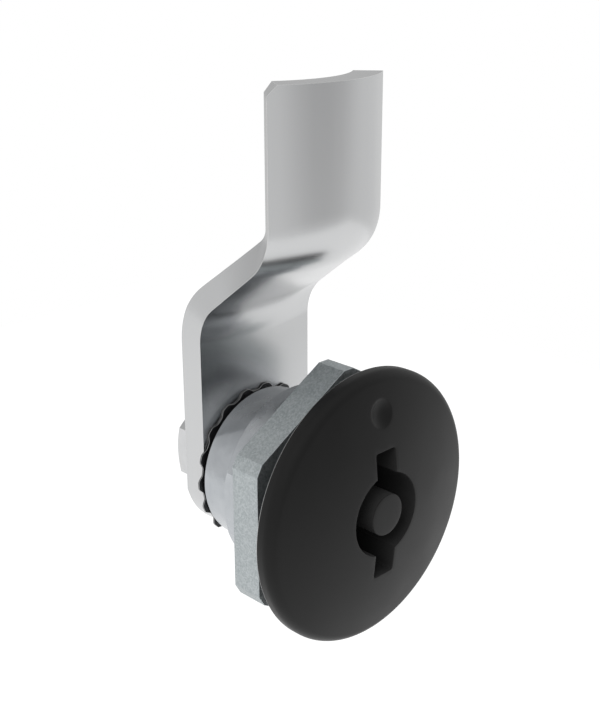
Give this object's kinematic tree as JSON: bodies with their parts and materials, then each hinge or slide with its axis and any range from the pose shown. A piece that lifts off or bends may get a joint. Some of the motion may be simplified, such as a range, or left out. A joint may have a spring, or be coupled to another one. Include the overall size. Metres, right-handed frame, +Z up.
{
  "type": "quarter-turn cam latch",
  "caption": "Quarter-turn cam latch with a domed double-bit key head, panel nut and a cranked cam with a curved tip.",
  "frame": {"origin": "on the turning axis, in the plane of the door panel's front face", "axes": "+Z up along the closed cam, +Y along the turning axis from the key side to the inside of the door, +X to the right seen from the key side"},
  "size_m": [0.0312, 0.0295, 0.0609],
  "materials": {
    "die_cast": "smooth bright metal, taken as a plated zinc die casting",
    "seal_rubber": "matt black rubber",
    "galvanised": "galvanised steel with a fine speckle",
    "black_head": "satin black coating",
    "black_washer": "black spring steel",
    "cam_steel": "satin bright zinc-plated steel",
    "zinc_fastener": "zinc-plated steel"
  },
  "bodies": {
    "latch_body": {"housing": "die_cast", "flange_gasket": "seal_rubber", "hex_nut": "galvanised"},
    "turning_core": {"rotor": "black_head", "rotor_o_ring": "seal_rubber", "wave_washer": "black_washer", "cam": "cam_steel", "flat_washer": "zinc_fastener", "hex_bolt": "zinc_fastener"}
  },
  "joints": [
    {"name": "quarter_turn", "type": "hinge", "parent": "latch_body", "child": "turning_core", "pos_m": [0, 0, 0], "axis": [0, 1, 0], "range_deg": [0, 90]}
  ]
}
